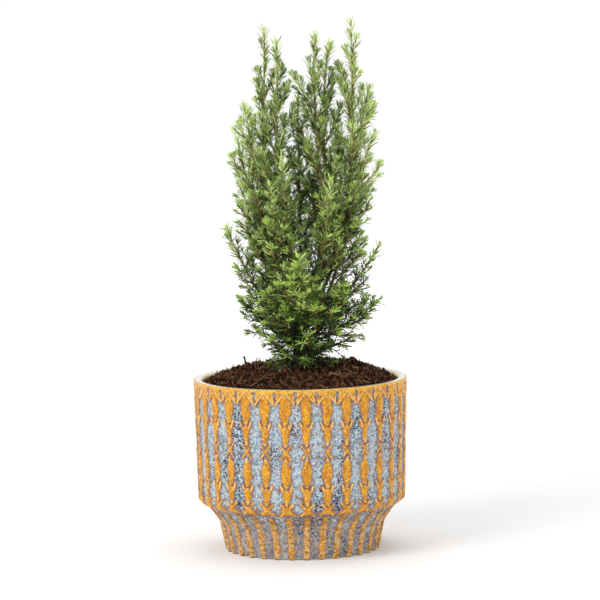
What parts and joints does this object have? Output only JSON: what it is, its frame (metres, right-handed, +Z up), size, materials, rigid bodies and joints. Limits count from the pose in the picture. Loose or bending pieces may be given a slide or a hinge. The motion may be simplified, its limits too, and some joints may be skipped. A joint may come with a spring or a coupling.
{
  "type": "potted upright conifer",
  "caption": "Upright needle conifer with several leading stems, in a round glazed pot with a leaf relief and a narrower foot, filled with potting soil.",
  "frame": {"origin": "centre of the pot's flat underside", "axes": "+Z up, -Y towards the front, +X to the right seen from the front"},
  "size_m": [0.19, 0.19, 0.4712],
  "materials": {
    "glaze": "gloss",
    "soil": "matte",
    "bark": "matte",
    "needles": "matte"
  },
  "bodies": {
    "root": {"bough_back": "bark", "bough_back_left": "bark", "bough_back_right": "bark", "bough_front_left": "bark", "bough_front_right": "bark", "bough_high_left": "bark", "bough_high_right": "bark", "bough_shoulder_back": "bark", "bough_shoulder_front": "bark", "bough_shoulder_left": "bark", "bough_shoulder_right": "bark", "bough_side_left": "bark", "bough_side_right": "bark", "bough_spire_left": "bark", "bough_spire_left_twin": "bark", "bough_spire_middle": "bark", "bough_spire_middle_twin": "bark", "bough_spire_right": "bark", "foliage_back": "needles", "foliage_back_left": "needles", "foliage_back_right": "needles", "foliage_foot_back": "needles", "foliage_foot_front_left": "needles", "foliage_foot_front_right": "needles", "foliage_foot_left": "needles", "foliage_foot_right": "needles", "foliage_front": "needles", "foliage_front_left": "needles", "foliage_front_right": "needles", "foliage_high_left": "needles", "foliage_high_right": "needles", "foliage_low_back_left": "needles", "foliage_low_back_right": "needles", "foliage_low_front_left": "needles", "foliage_low_front_right": "needles", "foliage_low_left": "needles", "foliage_low_right": "needles", "foliage_shoulder_back": "needles", "foliage_shoulder_front": "needles", "foliage_shoulder_left": "needles", "foliage_shoulder_right": "needles", "foliage_side_left": "needles", "foliage_side_right": "needles", "foliage_skirt_back": "needles", "foliage_skirt_front": "needles", "foliage_skirt_left": "needles", "foliage_skirt_right": "needles", "foliage_spire_left": "needles", "foliage_spire_left_twin": "needles", "foliage_spire_middle": "needles", "foliage_spire_middle_twin": "needles", "foliage_spire_right": "needles", "pot": "glaze", "soil": "soil", "trunk": "bark"}
  },
  "joints": []
}
